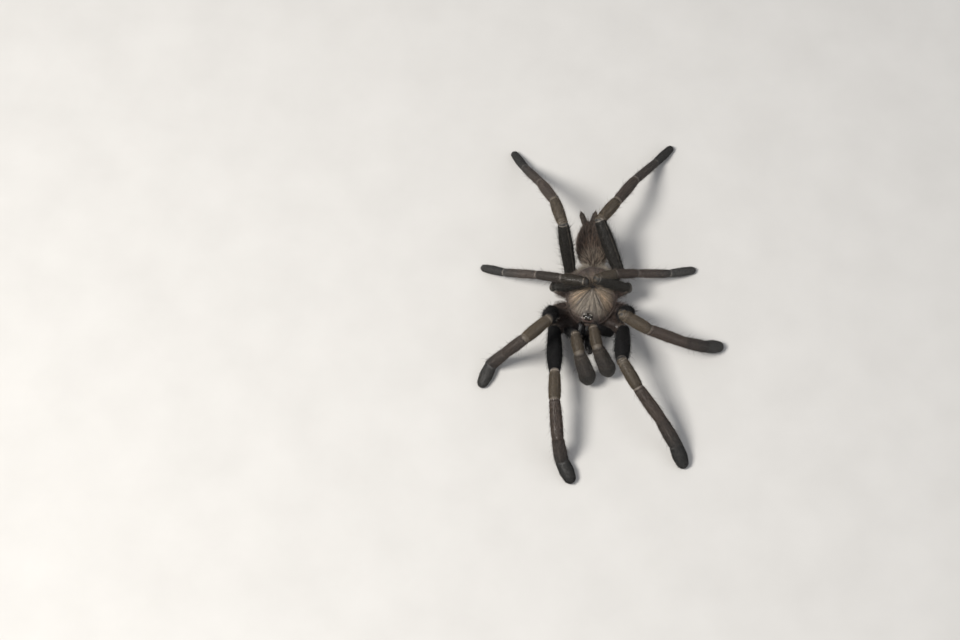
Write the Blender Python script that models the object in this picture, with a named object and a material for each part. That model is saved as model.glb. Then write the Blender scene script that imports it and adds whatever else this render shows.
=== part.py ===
"""Burrowing tarantula at life size, standing still on a level floor.

The head faces -Y, the spider's own left is +X and the feet rest on z = 0.  Each solid reaches to
the tips of the hair it carries.  Sizes below are in millimetres and angles in degrees; meshes are
made in millimetres and scaled to metres when they become objects.
"""
import math

import bmesh
import bpy
from mathutils import Matrix, Vector

MM = 0.001
JOINT_GAP = 0.3            # free space between two pieces at a joint

# Fused head and thorax.  Body coordinates: x to the left, y to the tail, z up from mid height.
BODY_HEIGHT = 8.4          # mid height of the body above the floor
NOSE_DOWN = 5.0
LEFT_SIDE_UP = 2.0
CARAPACE_FRONT = 8.1       # how far it reaches ahead of and behind the body's middle
CARAPACE_BACK = 8.8
CARAPACE_WIDTH = 13.6
HEAD_TURN = -3.0           # shield and jaws are turned a little to the right
HEAD_PIVOT_Y = -4.7
CARAPACE_EDGE = 0.75       # height of its rim in body coordinates
DOME_RISE = 2.35
HEAD_RISE = 1.05           # the head region stands this much above the dome
FOVEA_Y = 2.3              # the dimple that the radial grooves run to
GROOVE_DEPTH = 0.22
CORE_SIZE = (5.4, 7.6, 2.8)
CORE_LEVEL = -1.9
SHELL_CLEARANCE = 0.3

EYE_MOUND = (1.45, 1.05, 0.95)
EYE_MOUND_Y = -6.7

CHELICERA_START = (1.7, -8.6, -0.3)
CHELICERA_LENGTH = 6.8
CHELICERA_HALF_WIDTH = 1.55
CHELICERA_HALF_HEIGHT = 2.25

# Abdomen, from the waist to the spinnerets.
ABDOMEN_START = (0.0, 9.0, 0.9)
ABDOMEN_LENGTH = 17.5
ABDOMEN_RADIUS = 4.55
ABDOMEN_HEADING = 100.0
ABDOMEN_SLOPE = -19.0
ABDOMEN_TAIL = 0.95        # share of the egg at which the spinnerets sprout
SPINNERET_LENGTH = 4.0

# Hip points, where coxa and trochanter end, in body coordinates.  The coxae swing a little, so
# the right ones stand further forward.
HIPS = {
    ("palp", "left"): (6.3, -9.3, -1.4), ("palp", "right"): (-5.5, -9.85, -1.4),
    ("leg1", "left"): (9.95, -8.0, -1.2), ("leg1", "right"): (-9.25, -9.7, -1.2),
    ("leg2", "left"): (10.9, -2.9, -0.8), ("leg2", "right"): (-10.3, -4.7, -0.8),
    ("leg3", "left"): (9.9, 3.7, 0.7), ("leg3", "right"): (-10.4, 1.9, 0.7),
    ("leg4", "left"): (7.1, 8.9, -0.6), ("leg4", "right"): (-6.6, 7.6, -0.6),
}
TROCHANTER_LENGTH = 1.9
COXA_RADIUS = {"palp": 1.45, "leg1": 2.1, "leg2": 2.25, "leg3": 2.0, "leg4": 2.05}
PEDICEL = ((0.0, 6.2, -1.2), (0.0, 8.9, 0.1), 1.15)   # the waist: ends and radius

SEGMENTS = ("femur", "patella", "tibia", "metatarsus", "tarsus")
PALP_SEGMENTS = ("femur", "patella", "tibia", "tarsus")

# Length, then the half width at the start, the middle and the end of each segment.
SIZES = {
    "palp": ((8.4, 1.35, 1.5, 1.5), (6.1, 1.5, 1.8, 1.75), (6.7, 1.75, 2.3, 2.4),
             (5.75, 2.4, 2.65, 2.15)),
    "leg1": ((16.3, 1.9, 2.4, 1.75), (8.55, 1.7, 1.95, 1.8), (10.7, 1.7, 1.95, 1.85),
             (8.7, 1.8, 2.1, 2.05), (7.2, 2.0, 2.25, 1.9)),
    "leg2": ((14.2, 1.8, 2.3, 1.7), (8.95, 1.7, 1.95, 1.8), (11.35, 1.7, 1.8, 1.65),
             (8.6, 1.65, 1.85, 1.85), (7.5, 1.8, 2.05, 1.7)),
    "leg3": ((11.5, 1.5, 1.65, 1.55), (6.75, 1.5, 1.75, 1.55), (8.6, 1.45, 1.5, 1.4),
             (11.5, 1.35, 1.4, 1.3), (8.8, 1.3, 1.45, 1.25)),
    "leg4": ((15.6, 1.8, 2.1, 1.7), (8.1, 1.65, 1.9, 1.7), (12.2, 1.6, 1.75, 1.55),
             (14.0, 1.45, 1.45, 1.35), (8.6, 1.35, 1.45, 1.25)),
}

# Pose: compass heading and rise of each segment from hip to foot.  0 is the spider's left,
# 90 its tail and -90 its head.  The last leg segment takes the slope that sets its foot down.
POSE = {
    ("leg1", "left"): ((-88, 35), (-51, -18), (-43, -25), (-46, -34), (-58, 0)),
    ("leg1", "right"): ((-84, 19), (-84, 4), (-79, -11), (-63, -65), (-59, 0)),
    ("leg2", "left"): ((-104, 62), (-11, -32), (-3, -25), (17, -42), (26, 0)),
    ("leg2", "right"): ((-95, 56), (-129, 7), (-174, -63), (-169, -62), (-108, 0)),
    ("leg3", "left"): ((-169, 41), (39, -30), (29, -36), (21, -28), (25, 0)),
    ("leg3", "right"): ((-7, 44), (170, -15), (162, -31), (166, -31), (158, 0)),
    ("leg4", "left"): ((120.5, 28), (59, -4), (66, -26), (62, -33), (57, 0)),
    ("leg4", "right"): ((112.5, 55), (113, -5), (118, -36), (121, -41), (123, 0)),
    ("palp", "left"): ((-157, 53), (-74, 4), (-39, -60), (-22, -70)),
    ("palp", "right"): ((-60, 57), (-73, 5), (-49, -60), (-37, -71)),
}
FOOT_SINK = 0.30           # how far the floor would press into a foot, flattened instead
FOOT_FLATNESS = 0.94       # height of a foot's section over its width
LIMB_SIDES = 10
SIDES = {"left": 1, "right": -1}

COLOURS = {
    "femur": (0.012, 0.012, 0.014),
    "patella": (0.085, 0.070, 0.052),
    "tibia": (0.070, 0.052, 0.045),
    "metatarsus": (0.060, 0.046, 0.040),
    "tarsus": (0.028, 0.028, 0.029),
    "carapace": (0.165, 0.130, 0.095),
    "sternum_coxae": (0.050, 0.040, 0.034),
    "ocular_tubercle": (0.006, 0.006, 0.006),
    "chelicera": (0.020, 0.017, 0.016),
    "fang": (0.010, 0.004, 0.003),
    "abdomen": (0.090, 0.055, 0.038),
    "spinneret": (0.040, 0.028, 0.022),
}
ROUGHNESS = {"ocular_tubercle": 0.12, "fang": 0.2}


def direction(heading, rise):
    """Unit vector along a compass heading that climbs by rise."""
    flat = math.cos(math.radians(rise))
    turn = math.radians(heading)
    return Vector((math.cos(turn) * flat, math.sin(turn) * flat, math.sin(math.radians(rise))))


def body_matrix():
    """From body coordinates to the floor's, in millimetres."""
    pitch = Matrix.Rotation(math.radians(NOSE_DOWN), 4, "X")
    roll = Matrix.Rotation(math.radians(-LEFT_SIDE_UP), 4, "Y")
    return Matrix.Translation((0, 0, BODY_HEIGHT)) @ pitch @ roll


def head_matrix():
    """Body coordinates as the shield, the eyes and the jaws have them, turned to the right."""
    pivot = Matrix.Translation((0, HEAD_PIVOT_Y, 0))
    turn = Matrix.Rotation(math.radians(HEAD_TURN), 4, "Z")
    return body_matrix() @ pivot @ turn @ pivot.inverted()


def hip(limb, side):
    """End of the coxa and trochanter of one limb, in body coordinates."""
    return Vector(HIPS[limb, side])


def coxa_root(limb, side):
    """Inner end of a coxa under the sternum's middle."""
    outer = hip(limb, side)
    return Vector((SIDES[side] * (3.0 if limb == "palp" else 1.6), outer.y * 0.52, -2.3))


def ring(mesh, centre, side_axis, up_axis, width, height, sides=LIMB_SIDES):
    """One closed loop of vertices across a limb."""
    loop = []
    for step in range(sides):
        angle = math.tau * (step + 0.5) / sides
        offset = side_axis * (width * math.cos(angle)) + up_axis * (height * math.sin(angle))
        loop.append(mesh.verts.new(centre + offset))
    return loop


def skin_rings(mesh, loops):
    """Joins neighbouring loops with faces and closes both ends."""
    for first, second in zip(loops, loops[1:]):
        count = len(first)
        for step in range(count):
            after = (step + 1) % count
            mesh.faces.new((first[step], first[after], second[after], second[step]))
    mesh.faces.new(list(reversed(loops[0])))
    mesh.faces.new(loops[-1])
    bmesh.ops.recalc_face_normals(mesh, faces=mesh.faces)
    return mesh


def loft(centres, widths, heights, sides=LIMB_SIDES, up=Vector((0, 0, 1))):
    """A closed body through a row of elliptical sections."""
    mesh = bmesh.new()
    loops = []
    last = len(centres) - 1
    for index, centre in enumerate(centres):
        ahead = (centres[min(index + 1, last)] - centres[max(index - 1, 0)]).normalized()
        side_axis = ahead.cross(up).normalized()
        up_axis = side_axis.cross(ahead)
        loops.append(ring(mesh, centre, side_axis, up_axis, widths[index], heights[index], sides))
    return skin_rings(mesh, loops)


def limb_piece(start, end, radii, grow=0.0, tall=1.05):
    """A limb segment with round ends; radii are those of its start, middle and end."""
    first, middle, last = (radius + grow for radius in radii)
    axis = end - start
    length = axis.length
    ahead = axis / length
    stations = (
        (-0.7 * first, 0.7 * first), (0.0, first),
        (0.3 * length, 0.5 * (first + middle) + 0.1 * middle - 0.05 * (first + last)),
        (0.62 * length, middle), (length, last), (length + 0.7 * last, 0.7 * last),
    )
    centres = [start + ahead * along for along, _ in stations]
    widths = [radius for _, radius in stations]
    return loft(centres, widths, [radius * tall for radius in widths])


def foot_piece(start, end, radii):
    """A tarsus: its blunt hairy tip ends at the foot point."""
    first, middle, last = radii
    length = (end - start).length
    ahead = (end - start) / length
    stations = (
        (-0.7 * first, 0.7 * first), (0.0, first), (0.55 * length, middle),
        (length - 0.85 * last, last), (length - 0.35 * last, 0.86 * last), (length, 0.5 * last),
    )
    centres = [start + ahead * along for along, _ in stations]
    widths = [radius for _, radius in stations]
    return loft(centres, widths, [radius * FOOT_FLATNESS for radius in widths])


def trim(mesh, point, normal):
    """Cuts away what lies on the normal's side of a plane and closes the cut."""
    geometry = mesh.verts[:] + mesh.edges[:] + mesh.faces[:]
    cut = bmesh.ops.bisect_plane(mesh, geom=geometry, dist=1e-5, plane_co=point, plane_no=normal,
                                 clear_outer=True)
    edges = [item for item in cut["geom_cut"] if isinstance(item, bmesh.types.BMEdge)]
    if edges:
        bmesh.ops.holes_fill(mesh, edges=edges, sides=0)
    bmesh.ops.recalc_face_normals(mesh, faces=mesh.faces)
    return mesh


def to_object(name, mesh, origin=Vector((0, 0, 0))):
    """Turns a mesh in millimetres into a metre object that sits at its own origin."""
    bmesh.ops.translate(mesh, verts=mesh.verts, vec=-origin)
    bmesh.ops.scale(mesh, verts=mesh.verts, vec=(MM, MM, MM))
    data = bpy.data.meshes.new(name)
    mesh.to_mesh(data)
    mesh.free()
    thing = bpy.data.objects.new(name, data)
    thing.location = origin * MM
    bpy.context.scene.collection.objects.link(thing)
    return thing


def combine(thing, other, operation):
    """Applies one exact Boolean and removes the second object."""
    modifier = thing.modifiers.new("shape", "BOOLEAN")
    modifier.operation = operation
    modifier.solver = "EXACT"
    modifier.object = other
    bpy.context.view_layer.update()
    graph = bpy.context.evaluated_depsgraph_get()
    shaped = bpy.data.meshes.new_from_object(thing.evaluated_get(graph))
    thing.modifiers.clear()
    thing.data = shaped
    bpy.data.objects.remove(other)
    return thing


def paint(thing, kind):
    """Gives an object its own plain material."""
    material = bpy.data.materials.new(thing.name)
    material.use_nodes = True
    shader = material.node_tree.nodes["Principled BSDF"]
    shader.inputs["Base Color"].default_value = (*COLOURS[kind], 1.0)
    shader.inputs["Roughness"].default_value = ROUGHNESS.get(kind, 0.75)
    shader.inputs["Metallic"].default_value = 0.0
    thing.data.materials.clear()
    thing.data.materials.append(material)
    thing.data.shade_smooth()
    thing.data.set_sharp_from_angle(angle=math.radians(50))
    return thing


def coxae_and_sternum(name, grow=0.0):
    """The underside of the body: the core, the sternum and the ten coxae in one piece."""
    place = body_matrix()
    core = bmesh.new()
    bmesh.ops.create_uvsphere(core, u_segments=14, v_segments=8, radius=1.0)
    width, length, height = (size + grow for size in CORE_SIZE)
    bmesh.ops.scale(core, verts=core.verts, vec=(width, length, height))
    bmesh.ops.translate(core, verts=core.verts, vec=(0, 0, CORE_LEVEL))
    trim(core, Vector((0, 0, CARAPACE_EDGE - SHELL_CLEARANCE + grow)), Vector((0, 0, 1)))
    trim(core, Vector((0, 0, -4.1 - grow)), Vector((0, 0, -1)))
    core.transform(place)
    body = to_object(name, core)
    for limb, side in HIPS:
        root = place @ coxa_root(limb, side)
        tip = place @ hip(limb, side)
        ahead = (tip - root).normalized()
        radius = COXA_RADIUS[limb] + grow
        end = tip - ahead * (TROCHANTER_LENGTH - grow)
        piece = limb_piece(root, end, (radius * 0.9, radius, radius * 0.95))
        trim(piece, end, ahead)
        combine(body, to_object("coxa", piece), "UNION")
    front, back, radius = PEDICEL
    waist = limb_piece(place @ Vector(front), place @ Vector(back), [radius + grow] * 3)
    trim(waist, place @ Vector(back), place.to_3x3() @ Vector((0, 1, 0)))
    return combine(body, to_object("waist", waist), "UNION")


def carapace_height(x, y):
    """Top of the carapace over the point (x, y), in body coordinates."""
    across = x / (CARAPACE_WIDTH / 2)
    along = (y - 0.6) / (CARAPACE_BACK + 0.6)
    spread = min(1.0, across ** 2 + along ** 2)
    dome = DOME_RISE * (1.0 - spread ** 1.4)
    head_across = x / (3.7 - 0.12 * max(0.0, y + 2.0))
    head_along = (y + 6.2) / 5.0
    head = HEAD_RISE * math.exp(-(head_across ** 4)) * math.exp(-(head_along ** 2) * 1.1)
    reach = math.hypot(x, y - FOVEA_Y)
    bearing = math.atan2(y - FOVEA_Y, x)
    fade = math.exp(-((reach - 2.6) / 2.2) ** 2)
    groove = GROOVE_DEPTH * fade * (0.5 + 0.5 * math.cos(8.0 * bearing)) ** 3
    dimple = 0.5 * math.exp(-((x / 1.1) ** 2) - ((y - FOVEA_Y) / 0.6) ** 2)
    return CARAPACE_EDGE + 0.25 + dome + head - groove - dimple


def carapace_rim(angle):
    """Outline of the carapace; the head end is broad and the tail end is notched."""
    half_width = CARAPACE_WIDTH / 2
    sine, cosine = math.sin(angle), math.cos(angle)
    reach = CARAPACE_FRONT if sine < 0 else CARAPACE_BACK
    y = reach * math.copysign(abs(sine) ** 0.9, sine)
    taper = 1.0 - 0.20 * max(0.0, -sine) ** 1.5 - 0.10 * max(0.0, sine) ** 2
    x = half_width * math.copysign(abs(cosine) ** 0.78, cosine) * taper
    return x, y


def carapace(name):
    """The domed shield over the head and thorax, hollowed where it sits on the coxae."""
    mesh = bmesh.new()
    spokes = 40
    shares = (0.16, 0.34, 0.53, 0.72, 0.88, 1.0)
    centre = mesh.verts.new((0, FOVEA_Y, carapace_height(0, FOVEA_Y)))
    loops = []
    for share in shares:
        loop = []
        for step in range(spokes):
            rim_x, rim_y = carapace_rim(math.tau * step / spokes)
            x = rim_x * share
            y = FOVEA_Y + (rim_y - FOVEA_Y) * share
            loop.append(mesh.verts.new((x, y, carapace_height(x, y))))
        loops.append(loop)
    lower = []
    for step in range(spokes):
        rim_x, rim_y = carapace_rim(math.tau * step / spokes)
        lower.append(mesh.verts.new((rim_x * 0.97, rim_y * 0.98, CARAPACE_EDGE - 0.15)))
    loops.append(lower)
    for step in range(spokes):
        mesh.faces.new((centre, loops[0][step], loops[0][(step + 1) % spokes]))
    for first, second in zip(loops, loops[1:]):
        for step in range(spokes):
            after = (step + 1) % spokes
            mesh.faces.new((first[step], second[step], second[after], first[after]))
    mesh.faces.new(list(reversed(lower)))
    bmesh.ops.recalc_face_normals(mesh, faces=mesh.faces)
    bmesh.ops.triangulate(mesh, faces=mesh.faces)
    mesh.transform(head_matrix())
    shield = to_object(name, mesh)
    combine(shield, coxae_and_sternum("coxae_cutter", SHELL_CLEARANCE), "DIFFERENCE")
    return combine(shield, eye_mound("mound_cutter", 0.25, False), "DIFFERENCE")


def eye_mound(name, grow=0.0, with_eyes=True):
    """The raised mound of the eight eyes, two large round ones in front."""
    place = head_matrix()
    level = carapace_height(0, EYE_MOUND_Y) - 0.15
    middle = Vector((0, EYE_MOUND_Y, level))
    mesh = bmesh.new()
    bmesh.ops.create_uvsphere(mesh, u_segments=12, v_segments=6, radius=1.0)
    bmesh.ops.scale(mesh, verts=mesh.verts, vec=[size + grow for size in EYE_MOUND])
    bmesh.ops.translate(mesh, verts=mesh.verts, vec=middle)
    mesh.transform(place)
    mound = to_object(name, mesh)
    if not with_eyes:
        return mound
    for side in SIDES.values():
        for across, along, up, radius in (
            (0.48, -0.25, 0.72, 0.36), (1.0, -0.62, 0.28, 0.33),
            (1.05, 0.30, 0.38, 0.32), (0.62, 0.45, 0.66, 0.26),
        ):
            eye = bmesh.new()
            bmesh.ops.create_icosphere(eye, subdivisions=1, radius=radius)
            spot = middle + Vector((side * across, along, up))
            bmesh.ops.translate(eye, verts=eye.verts, vec=spot)
            eye.transform(place)
            combine(mound, to_object("eye", eye), "UNION")
    return mound


def chelicera(name, side):
    """One jaw: a stout lobe that points forward and a little down."""
    sign = SIDES[side]
    place = head_matrix()
    centres = []
    widths = []
    heights = []
    for along, width, height in ((0.0, 0.86, 0.82), (0.2, 0.98, 0.98), (0.5, 1.0, 1.0),
                                 (0.78, 0.94, 0.84), (0.93, 0.72, 0.6), (1.0, 0.4, 0.34)):
        spot = Vector((sign * (CHELICERA_START[0] + 0.15 * along),
                       CHELICERA_START[1] - CHELICERA_LENGTH * along,
                       CHELICERA_START[2] - 1.55 * along ** 1.6))
        centres.append(place @ spot)
        widths.append(CHELICERA_HALF_WIDTH * width)
        heights.append(CHELICERA_HALF_HEIGHT * height)
    return to_object(name, loft(centres, widths, heights, 12), centres[0])


def fang(name, side):
    """The curved fang folded back under its jaw."""
    sign = SIDES[side]
    place = head_matrix()
    centres = []
    radii = []
    for step in range(6):
        share = step / 5
        swing = math.radians(20 + 118 * share)
        y = -12.9 - 2.1 * math.cos(swing) + 1.9 * share
        z = -2.75 - 2.05 * math.sin(swing) - 0.4 * share
        centres.append(place @ Vector((sign * (1.9 - 0.35 * share), y, z)))
        radii.append(0.62 - 0.34 * share)
    mesh = loft(centres, radii, radii, 8, up=Vector((1, 0, 0)))
    return to_object(name, mesh, centres[0])


def abdomen(name):
    """The egg-shaped abdomen, tail low."""
    start = body_matrix() @ Vector(ABDOMEN_START)
    ahead = direction(ABDOMEN_HEADING, ABDOMEN_SLOPE)
    centres = []
    radii = []
    rings = 11
    for step in range(rings):
        share = 0.5 - 0.5 * math.cos(math.pi * (0.07 + 0.87 * step / (rings - 1)))
        bulge = math.sin(math.pi * share ** 0.82) ** 0.62
        centres.append(start + ahead * (ABDOMEN_LENGTH * share))
        radii.append(ABDOMEN_RADIUS * bulge)
    mesh = loft(centres, radii, [radius * 0.93 for radius in radii], 16)
    trim(mesh, start + ahead * (ABDOMEN_LENGTH * ABDOMEN_TAIL), ahead)
    backward = body_matrix().to_3x3() @ Vector((0, 1, 0))
    waist_end = body_matrix() @ Vector(PEDICEL[1])
    trim(mesh, waist_end + backward * JOINT_GAP, -backward)
    return to_object(name, mesh, start)


def spinneret(name, side):
    """One of the two finger-like spinnerets under the tail."""
    sign = SIDES[side]
    start = body_matrix() @ Vector(ABDOMEN_START)
    ahead = direction(ABDOMEN_HEADING, ABDOMEN_SLOPE)
    across = ahead.cross(Vector((0, 0, 1))).normalized()
    root = start + ahead * (ABDOMEN_LENGTH * ABDOMEN_TAIL + JOINT_GAP) + across * (sign * 0.95)
    tip = root + direction(ABDOMEN_HEADING - sign * 16, 8) * SPINNERET_LENGTH
    centres = [root.lerp(tip, share) for share in (0.0, 0.25, 0.6, 0.87, 1.0)]
    radii = [0.75, 0.98, 0.92, 0.82, 0.5]
    mesh = loft(centres, radii, radii, 8)
    trim(mesh, root, -ahead)
    return to_object(name, mesh, root)


def limb_points(limb, side):
    """Coxa root, hip and every joint down to the foot."""
    place = body_matrix()
    points = [place @ coxa_root(limb, side), place @ hip(limb, side)]
    pose = POSE[limb, side]
    for index, (length, *radii) in enumerate(SIZES[limb]):
        heading, rise = pose[index]
        if limb != "palp" and index == len(pose) - 1:
            pad_height = radii[-1] * FOOT_FLATNESS - FOOT_SINK
            drop = (pad_height - points[-1].z) / (length - 0.85 * radii[-1])
            rise = math.degrees(math.asin(drop))
        points.append(points[-1] + direction(heading, rise) * length)
    return points


def joint_plane(points, index):
    """Normal of the plane that parts the pieces before and after a joint."""
    before = (points[index] - points[index - 1]).normalized()
    after = (points[index + 1] - points[index]).normalized()
    return (before + after).normalized()


def limb_solid(points, index, radii, is_last):
    """One segment between two joints, trimmed to its neighbours and to the floor."""
    start, end = points[index], points[index + 1]
    mesh = foot_piece(start, end, radii) if is_last else limb_piece(start, end, radii)
    if index > 1:
        plane = joint_plane(points, index)
        trim(mesh, start + plane * (JOINT_GAP / 2), -plane)
    if not is_last:
        plane = joint_plane(points, index + 1)
        trim(mesh, end - plane * (JOINT_GAP / 2), plane)
    trim(mesh, Vector((0, 0, 0)), Vector((0, 0, -1)))
    return mesh


def femur_with_trochanter(name, limb, points, radii):
    """The femur joined to its short trochanter, which meets the coxa."""
    root, start = points[0], points[1]
    ahead = (start - root).normalized()
    inner = start - ahead * (TROCHANTER_LENGTH - JOINT_GAP)
    radius = min(COXA_RADIUS[limb] * 0.95, radii[0])
    short = limb_piece(inner, start, (radius, radius, radius))
    trim(short, inner, -ahead)
    femur = to_object(name, limb_solid(points, 1, radii, False), start)
    combine(femur, to_object("trochanter", short), "UNION")
    return combine(femur, coxae_and_sternum("coxae_cutter", 0.15), "DIFFERENCE")


def limb(kind, side):
    """Every segment of one leg or palp."""
    points = limb_points(kind, side)
    names = PALP_SEGMENTS if kind == "palp" else SEGMENTS
    for index, segment in enumerate(names):
        name = f"{kind}_{side}_{segment}"
        radii = SIZES[kind][index][1:]
        is_last = index == len(names) - 1
        if index == 0:
            piece = femur_with_trochanter(name, kind, points, radii)
        else:
            piece = to_object(name, limb_solid(points, index + 1, radii, is_last),
                              points[index + 1])
        paint(piece, segment)


def stand_over_origin():
    """Moves the whole animal sideways so that its box is centred over the origin."""
    bpy.context.view_layer.update()
    corners = [thing.matrix_world @ vertex.co
               for thing in bpy.context.scene.objects for vertex in thing.data.vertices]
    low_x, high_x = min(c.x for c in corners), max(c.x for c in corners)
    low_y, high_y = min(c.y for c in corners), max(c.y for c in corners)
    shift = Vector(((low_x + high_x) / 2, (low_y + high_y) / 2, 0))
    for thing in bpy.context.scene.objects:
        thing.location -= shift


def build():
    """Makes the whole spider."""
    for thing in list(bpy.data.objects):
        bpy.data.objects.remove(thing)
    paint(carapace("carapace"), "carapace")
    paint(coxae_and_sternum("sternum_coxae"), "sternum_coxae")
    paint(eye_mound("ocular_tubercle"), "ocular_tubercle")
    paint(abdomen("abdomen"), "abdomen")
    for side in SIDES:
        paint(chelicera(f"chelicera_{side}", side), "chelicera")
        paint(fang(f"fang_{side}", side), "fang")
        paint(spinneret(f"spinneret_{side}", side), "spinneret")
        for kind in SIZES:
            limb(kind, side)
    stand_over_origin()


build()
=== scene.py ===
"""Burrowing tarantula at life size on a pale studio floor.

The head faces -Y, the spider's own left is +X.  Shapes are worked out in millimetres, in the
frame of the CAD model, and scaled to metres when they become objects.
"""

import math

import bmesh
import bpy
import numpy as np
from mathutils import Matrix, Vector


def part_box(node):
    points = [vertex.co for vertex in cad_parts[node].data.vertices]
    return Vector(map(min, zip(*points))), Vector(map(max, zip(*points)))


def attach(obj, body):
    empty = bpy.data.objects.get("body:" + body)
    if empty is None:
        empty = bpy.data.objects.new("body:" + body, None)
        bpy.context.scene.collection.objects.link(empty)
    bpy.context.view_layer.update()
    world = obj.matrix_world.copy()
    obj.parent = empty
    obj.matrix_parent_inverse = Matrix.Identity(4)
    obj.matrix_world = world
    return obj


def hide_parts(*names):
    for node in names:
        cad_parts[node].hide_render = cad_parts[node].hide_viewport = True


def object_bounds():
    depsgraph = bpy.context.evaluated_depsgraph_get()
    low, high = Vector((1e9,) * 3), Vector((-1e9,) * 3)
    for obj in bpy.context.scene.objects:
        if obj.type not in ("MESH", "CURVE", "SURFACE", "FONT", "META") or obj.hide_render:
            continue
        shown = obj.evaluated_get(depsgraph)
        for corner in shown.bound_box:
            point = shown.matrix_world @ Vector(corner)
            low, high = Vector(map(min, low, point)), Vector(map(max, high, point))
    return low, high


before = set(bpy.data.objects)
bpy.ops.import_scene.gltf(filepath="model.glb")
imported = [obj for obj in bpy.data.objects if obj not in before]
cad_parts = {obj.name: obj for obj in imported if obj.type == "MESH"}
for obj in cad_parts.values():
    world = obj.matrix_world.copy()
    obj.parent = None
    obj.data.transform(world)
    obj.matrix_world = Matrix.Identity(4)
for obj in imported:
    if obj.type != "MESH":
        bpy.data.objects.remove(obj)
cad_low, cad_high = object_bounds()

MM = 0.001
SEED = 20
MAP_PATCH = 0.003

# The body, in body coordinates: x to the left, y to the tail, z up from mid height.
# Lengths are in millimetres and turns in degrees.
BODY_HEIGHT = 8.4
NOSE_DOWN = 5.0
LEFT_SIDE_UP = 2.0
CARAPACE_FRONT = 8.1
CARAPACE_BACK = 8.8
CARAPACE_WIDTH = 13.6
HEAD_TURN = -3.0
HEAD_PIVOT_Y = -4.7
CARAPACE_EDGE = 0.75
GROOVE_DEPTH = 0.24
FOVEA_DEPTH = 0.5
FRINGE_HAIRS = 3600
MOUND_HAIRS = 90
DOME_RISE = 2.35
HEAD_RISE = 1.05
FOVEA_Y = 2.3
CORE_SIZE = (5.4, 7.6, 2.8)
CORE_LEVEL = -1.9
EYE_MOUND_Y = -6.7
CHELICERA_START = (1.7, -8.6, -0.3)
CHELICERA_LENGTH = 6.8
CHELICERA_HALF_WIDTH = 1.55
ABDOMEN_START = (0.0, 9.0, 0.9)
ABDOMEN_LENGTH = 17.5
ABDOMEN_RADIUS = 4.55
ABDOMEN_HEADING = 100.0
ABDOMEN_SLOPE = -19.0
ABDOMEN_TALL = 0.93
ABDOMEN_TAIL = 0.95
SPINNERET_LENGTH = 4.0
SPINNERET_APART = 0.95
SPINNERET_SPLAY = 16
SPINNERET_RISE = 8
CHELICERA_TALL = 1.32
LIMB_TALL = 1.05
WAIST = 0.14
# The pair of bare lines on these segments: bearing from the top and width, radians.
STRIPED = ("patella", "tibia", "metatarsus")
LINE_BEARING = 0.46
LINE_WIDTH = 0.075
# Half width at shares of the length; the chelicera's is a part of its own half width.
SPINNERET_PROFILE = ((0, 0.25, 0.6, 0.9, 1), (0.60, 0.82, 0.77, 0.69, 0.42))
CHELICERA_PROFILE = ((0, 0.25, 0.55, 0.8, 0.94, 1), (0.9, 0.98, 1.0, 0.93, 0.70, 0.38))
MOUND_SIZE = (1.40, 1.18, 0.84)
# Place on the mound (across, along, up), radius and stretch of the eyes of one side.
EYES = {
    "front": ((0.44, -0.28, 0.70, 0.36, 1.0),),
    "side": ((0.86, -0.64, 0.38, 0.22, 1.25), (0.94, 0.36, 0.50, 0.19, 1.35),
             (0.56, 0.46, 0.68, 0.15, 1.25)),
}
HIPS = {
    ("palp", "left"): (6.3, -9.3, -1.4), ("palp", "right"): (-5.5, -9.85, -1.4),
    ("leg1", "left"): (9.95, -8.0, -1.2), ("leg1", "right"): (-9.25, -9.7, -1.2),
    ("leg2", "left"): (10.9, -2.9, -0.8), ("leg2", "right"): (-10.3, -4.7, -0.8),
    ("leg3", "left"): (9.9, 3.7, 0.7), ("leg3", "right"): (-10.4, 1.9, 0.7),
    ("leg4", "left"): (7.1, 8.9, -0.6), ("leg4", "right"): (-6.6, 7.6, -0.6),
}
TROCHANTER_LENGTH = 1.9
COXA_RADIUS = {"palp": 1.45, "leg1": 2.1, "leg2": 2.25, "leg3": 2.0, "leg4": 2.05}
PEDICEL = ((0.0, 6.2, -1.2), (0.0, 9.6, 0.4), 1.15)
SEGMENTS = ("femur", "patella", "tibia", "metatarsus", "tarsus")
PALP_SEGMENTS = ("femur", "patella", "tibia", "tarsus")

# Length, then the half width at the start, the middle and the end of each segment, coat included.
SIZES = {
    "palp": ((8.4, 1.35, 1.5, 1.5), (6.1, 1.5, 1.8, 1.75), (6.7, 1.75, 2.3, 2.4),
             (5.75, 2.4, 2.65, 2.15)),
    "leg1": ((16.3, 1.9, 2.4, 1.75), (8.55, 1.7, 1.95, 1.8), (10.7, 1.7, 1.95, 1.85),
             (8.7, 1.8, 2.1, 2.05), (7.2, 2.0, 2.25, 1.9)),
    "leg2": ((14.2, 1.8, 2.3, 1.7), (8.95, 1.7, 1.95, 1.8), (11.35, 1.7, 1.8, 1.65),
             (8.6, 1.65, 1.85, 1.85), (7.5, 1.8, 2.05, 1.7)),
    "leg3": ((11.5, 1.5, 1.65, 1.55), (6.75, 1.5, 1.75, 1.55), (8.6, 1.45, 1.5, 1.4),
             (11.5, 1.35, 1.4, 1.3), (8.8, 1.3, 1.45, 1.25)),
    "leg4": ((15.6, 1.8, 2.1, 1.7), (8.1, 1.65, 1.9, 1.7), (12.2, 1.6, 1.75, 1.55),
             (14.0, 1.45, 1.45, 1.35), (8.6, 1.35, 1.45, 1.25)),
}

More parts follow.
